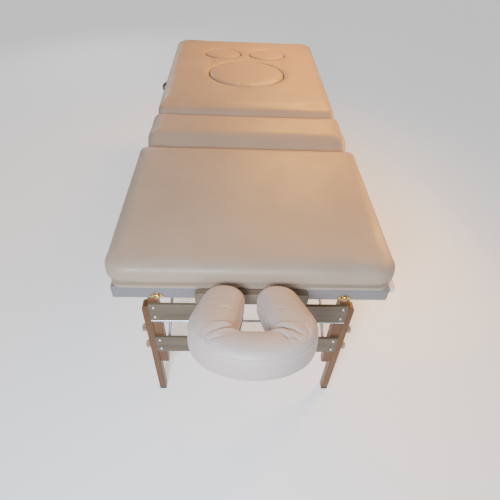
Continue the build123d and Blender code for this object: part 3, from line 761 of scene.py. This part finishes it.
def face_pillow():
    """The horseshoe: crowned top panel, side band, seams with stitches, creases at the inner corners."""
    origin, across, crownward, out = cradle_axes()
    node = "face_pillow"
    mesh = nodes[node].data.copy()
    # The pillow gets the vinyl copy with painted light.
    piece = add_piece("face_pillow_cover", mesh, "lit_pale_pillow_vinyl")
    remesh(piece, PILLOW_VOXEL, 8)
    to_local = Matrix((across, crownward, out)).to_4x4() @ Matrix.Translation(-origin)
    turn = np.array(to_local)

    def local_points():
        points = points_of(piece.data)
        return points @ turn[:3, :3].T + turn[:3, 3]

    local = local_points()
    foot, lid = local[:, 2].min(), local[:, 2].max()
    shrink = 0.45 * PILLOW_CAP
    points = points_of(piece.data) - normals_of(piece.data) * shrink
    points[:, 0] += PILLOW_SHIFT
    set_points(piece.data, points)
    local = local_points()
    seam_height = lid - SEAM_DEPTH
    pinned = np.where(local[:, 2] < foot + 0.006, 1.0, 0.0)
    on_seam = np.abs(local[:, 2] - seam_height) < 0.0035
    pinned = np.maximum(pinned, np.where(on_seam, 0.6, 0.0))
    inflate(piece, pinned, PILLOW_CAP, PILLOW_PRESSURE)
    subdivide(piece, PILLOW_SMOOTHING)

    seam_at = origin + out * seam_height
    shift = Vector((PILLOW_SHIFT, 0, 0))
    seam = resample([p + shift for p in section_loops(nodes[node].data, seam_at, out)[0]], 0.004)
    tree = surface_of(piece)
    seam_path, _ = on_surface(tree, seam)
    press(piece, seam_path, 0.0024, 0.0024, taper=False)
    low_seam_at = origin + out * (foot + FOOT_SEAM_HEIGHT)
    low_seam = resample([p + shift for p in section_loops(nodes[node].data, low_seam_at, out)[0]], 0.004)
    low_path, _ = on_surface(tree, low_seam)
    press(piece, low_path, 0.0022, 0.0012, taper=False)

    def place(x, y, z):
        return origin + shift + across * x + crownward * y + out * z

    def crease(route, width, depth):
        """A fold along a route given in the plate's own x and y."""
        path = [tree.find_nearest(place(x, y, lid))[0] for x, y in route]
        press(piece, path, width, depth)

    for side in (-1, 1):
        crease([(side * 0.024, 0.214), (side * 0.048, 0.219), (side * 0.074, 0.229), (side * 0.100, 0.250)],
               0.0048, 0.0046)
        crease([(side * 0.030, 0.228), (side * 0.056, 0.234), (side * 0.082, 0.250)], 0.0050, -0.0024)
        crease([(side * 0.030, 0.203), (side * 0.060, 0.206), (side * 0.092, 0.214)], 0.0050, -0.0020)
        crease([(side * 0.062, 0.258), (side * 0.080, 0.262), (side * 0.097, 0.272)], 0.0032, 0.0024)
        crease([(side * 0.106, 0.214), (side * 0.116, 0.236), (side * 0.113, 0.262)], 0.0036, 0.0022)
        crease([(side * 0.044, 0.146), (side * 0.060, 0.142), (side * 0.076, 0.147)], 0.0040, 0.0012)
        crease([(side * 0.104, 0.092), (side * 0.088, 0.100), (side * 0.074, 0.098)], 0.0034, 0.0012)
    crease([(-0.050, 0.240), (-0.064, 0.262), (-0.072, 0.286)], 0.0030, 0.0030)
    crease([(-0.064, 0.236), (-0.075, 0.246), (-0.079, 0.262)], 0.0026, 0.0022)
    crease([(0.096, 0.236), (0.101, 0.256), (0.099, 0.278)], 0.0030, 0.0030)
    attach(piece, "face_pillow_body")
    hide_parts(node)

    tree = surface_of(piece)
    for name, step in (("pillow_top_stitches", 0.0045), ("pillow_band_stitches", -0.0045)):
        row = [p + shift for p in section_loops(nodes[node].data, seam_at + out * step, out)[0]]
        row = resample(row, 0.003)
        path, normals = on_surface(tree, row, 0.0001)
        row_piece = add_piece(name, stitch_mesh(name, path, normals), "thread")
        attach(row_piece, "face_pillow_body")


# =============================== fittings ===============================
def scallop_knob(node, body, side):
    """A six-lobed clamping knob with its washer and threaded stud."""
    low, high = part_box(node)
    y, z = (low.y + high.y) / 2, (low.z + high.z) / 2
    outer = max(abs(low.x), abs(high.x))
    inner = min(abs(low.x), abs(high.x))
    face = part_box(node.replace("upper_knob", "extension").replace("lower_knob", "extension"))
    plank = max(abs(face[0].x), abs(face[1].x))
    depth = outer - plank
    radius = (high.z - low.z) / 2
    rim = [(0.0035, 0.0003), (0.0080, 0.0003), (0.0080, 0.0016), (radius * 0.80, 0.0022),
           (radius * 0.97, 0.0042), (radius, 0.0070), (radius * 0.985, depth - 0.0050),
           (radius * 0.90, depth - 0.0022), (radius * 0.66, depth - 0.0006), (radius * 0.30, depth),
           (0.0008, depth)]
    grip = lathe_mesh(node + "_grip", rim, 72, 6, 0.0048)
    piece = add_piece(node + "_grip", grip, "knob")
    turn = Matrix.Rotation(math.radians(90 * side), 4, "Y")
    piece.data.transform(Matrix.Translation((side * plank, y, z)) @ turn)
    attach(piece, body)
    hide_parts(node)
    shaft = []
    pitch, thread = 0.00125, 0.0002
    along = 0.0
    stud_length = plank - inner + 0.004
    while along < stud_length:
        shaft += [(0.0040, along), (0.0040 - thread, along + pitch / 2)]
        along += pitch
    shaft.append((0.0034, stud_length))
    stud = add_piece(node + "_stud", lathe_mesh(node + "_stud", shaft, 16), "steel")
    stud.data.transform(Matrix.Translation((side * inner, y, z)) @ turn)
    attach(stud, body)


def case_latch(side_name):
    """A round brass butterfly latch: winged plate with screws, and the domed turning grip."""
    joint = frame_joint(side_name + "_latch_turn")
    centre = Vector(joint["pos_m"])
    to_face = Matrix.Translation(centre) @ Matrix.Rotation(math.radians(90), 4, "X")
    bm = bmesh.new()
    count = 96
    rings = []
    for inset, height in ((0.0, 0.0), (0.0, 0.0011), (0.0008, 0.0018), (0.0026, 0.0021), (0.0040, 0.0019)):
        ring = []
        for k in range(count):
            angle = 2 * math.pi * k / count
            wing = WING_REACH * abs(math.cos(angle)) ** 1.5 * (1 - 0.30 * math.sin(2 * angle) ** 2)
            radius = max(ROSETTE_R, wing) - inset
            tall = min(radius, WING_HEIGHT)
            ring.append(bm.verts.new((radius * math.cos(angle), tall * math.sin(angle), height)))
        rings.append(ring)
    skin(bm, rings)
    name = side_name + "_latch_rosette"
    plate = add_piece(name, smooth_mesh(name, bm), "brass")
    plate.data.transform(to_face)
    for n, x in enumerate((-LATCH_SCREW_X, LATCH_SCREW_X)):
        dome = [(0.0026, 0.0019), (0.0026, 0.0024), (0.0020, 0.0031), (0.0010, 0.0035), (0.0003, 0.0036)]
        screw = add_piece(f"{side_name}_latch_screw_{n}", lathe_mesh("latch_screw", dome, 20), "brass")
        screw.data.transform(to_face @ Matrix.Translation((x, 0, 0)))
        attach(screw, "head_half")
    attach(plate, "head_half")
    dome = [(0.0070, 0.0023), (0.0086, 0.0026), (0.0090, 0.0040), (0.0084, 0.0054), (0.0064, 0.0060),
            (0.0060, 0.0068), (0.0050, 0.0082), (0.0030, 0.0090), (0.0008, 0.0092)]
    grip = add_piece(side_name + "_latch_grip", lathe_mesh("latch_grip", dome, 64, 12, 0.0009), "brass")
    grip.data.transform(to_face)
    body = side_name + "_latch_body"
    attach(grip, body)
    return plate


def strap_handle(end):
    """A padded leather carry handle with stitched edges and two metal end caps."""
    node = end + "_carry_handle"
    low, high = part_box(node)
    y0, y1 = low.y + 0.022, high.y - 0.022
    middle_z, half_height = (low.z + high.z) / 2, (high.z - low.z) / 2
    base, reach = high.x, high.x - low.x
    rows, ring_points = 48, 20
    bm = bmesh.new()
    rings, centres = [], []
    for n in range(rows + 1):
        t = n / rows
        y = y0 + (y1 - y0) * t
        lift = math.sin(math.pi * t) ** 0.75
        thick = 0.0022 + 0.0022 * math.sin(math.pi * t) ** 0.5
        tall = half_height * (0.82 - 0.10 * math.sin(math.pi * t))
        centre = Vector((base - 0.0030 - (reach - 0.0078) * lift, y, middle_z))
        slope = math.pi * math.cos(math.pi * t) * 0.75 * (reach - 0.0078) / (y1 - y0)
        along = Vector((-slope, 1, 0)).normalized()
        outward = Vector((-along.y, along.x, 0))
        centres.append((centre, outward, thick))
        ring = []
        for k in range(ring_points):
            angle = 2 * math.pi * k / ring_points
            c, s = math.cos(angle), math.sin(angle)
            flat = outward * thick * math.copysign(abs(c) ** 0.8, c)
            ring.append(bm.verts.new(centre + flat + Vector((0, 0, tall * math.copysign(abs(s) ** 0.45, s)))))
        rings.append(ring)
    skin(bm, rings)
    strap = add_piece(end + "_handle_strap", smooth_mesh(end + "_handle_strap", bm), "handle")
    body = end + "_half"
    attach(strap, body)
    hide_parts(node)
    for name, level in (("upper", 1), ("lower", -1)):
        rise = Vector((0, 0, level * half_height * 0.52))
        path = [centre + outward * (thick + 0.0001) + rise for centre, outward, thick in centres[2:-2]]
        normals = [outward for _, outward, _ in centres[2:-2]]
        row = add_piece(f"{end}_handle_{name}_stitches",
                        stitch_mesh("handle_stitches", path, normals, 0.004, 0.002, 0.0004), "dark_thread")
        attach(row, body)
    for n, (y, inward) in enumerate(((y0, 1), (y1, -1))):
        cap = handle_cap(end, n, y - inward * 0.007, base, middle_z, half_height)
        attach(cap, body)


def handle_cap(end, n, y, base, z, half_height):
    """A pressed metal plate over the strap's end."""
    bm = bmesh.new()
    count = 40
    rings = []
    for inset, height in ((0, 0), (0, 0.0042), (0.0010, 0.0056), (0.0030, 0.0062), (0.0075, 0.0062)):
        ring = []
        for k in range(count):
            angle = 2 * math.pi * k / count
            c, s = math.cos(angle), math.sin(angle)
            dy = (0.0145 - inset) * math.copysign(abs(c) ** 0.6, c)
            dz = (half_height - inset) * math.copysign(abs(s) ** 0.6, s)
            ring.append(bm.verts.new((base - height, y + dy, z + dz)))
        rings.append(ring)
    skin(bm, rings)
    name = f"{end}_handle_cap_{n}"
    return add_piece(name, smooth_mesh(name, bm), "steel")


# =============================== putting it together ===============================
def add_floor():
    bm = bmesh.new()
    bmesh.ops.create_grid(bm, x_segments=40, y_segments=40, size=9)
    mesh = bpy.data.meshes.new("floor")
    bm.to_mesh(mesh)
    bm.free()
    floor = add_piece("floor", mesh, "floor")


place_camera()
light_scene()
add_floor()
for node_name, node_object in nodes.items():
    paint(node_object, node_finish(node_name))

slab_cushion("back_cushion", "back_section", corner_gathers("back_cushion", -1, 0.040))
slab_cushion("middle_cushion", "head_half", [])
slab_cushion("foot_cushion", "foot_half", corner_gathers("foot_cushion", 1, 0.070, 7))
for plug_name in ("belly_plug", "left_breast_plug", "right_breast_plug"):
    plug_cushion(plug_name)
face_pillow()
groove_liner()

for end_name in ENDS:
    for side_word, side_sign in SIDES:
        for level_name in ("upper", "lower"):
            knob_name = f"{end_name}_{side_word}_{level_name}_knob"
            scallop_knob(knob_name, knob_name + "_body", side_sign)
    strap_handle(end_name)
rosettes = [case_latch(side_word) for side_word, _ in SIDES]
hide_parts("latch_plates")
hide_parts("left_latch", "right_latch")
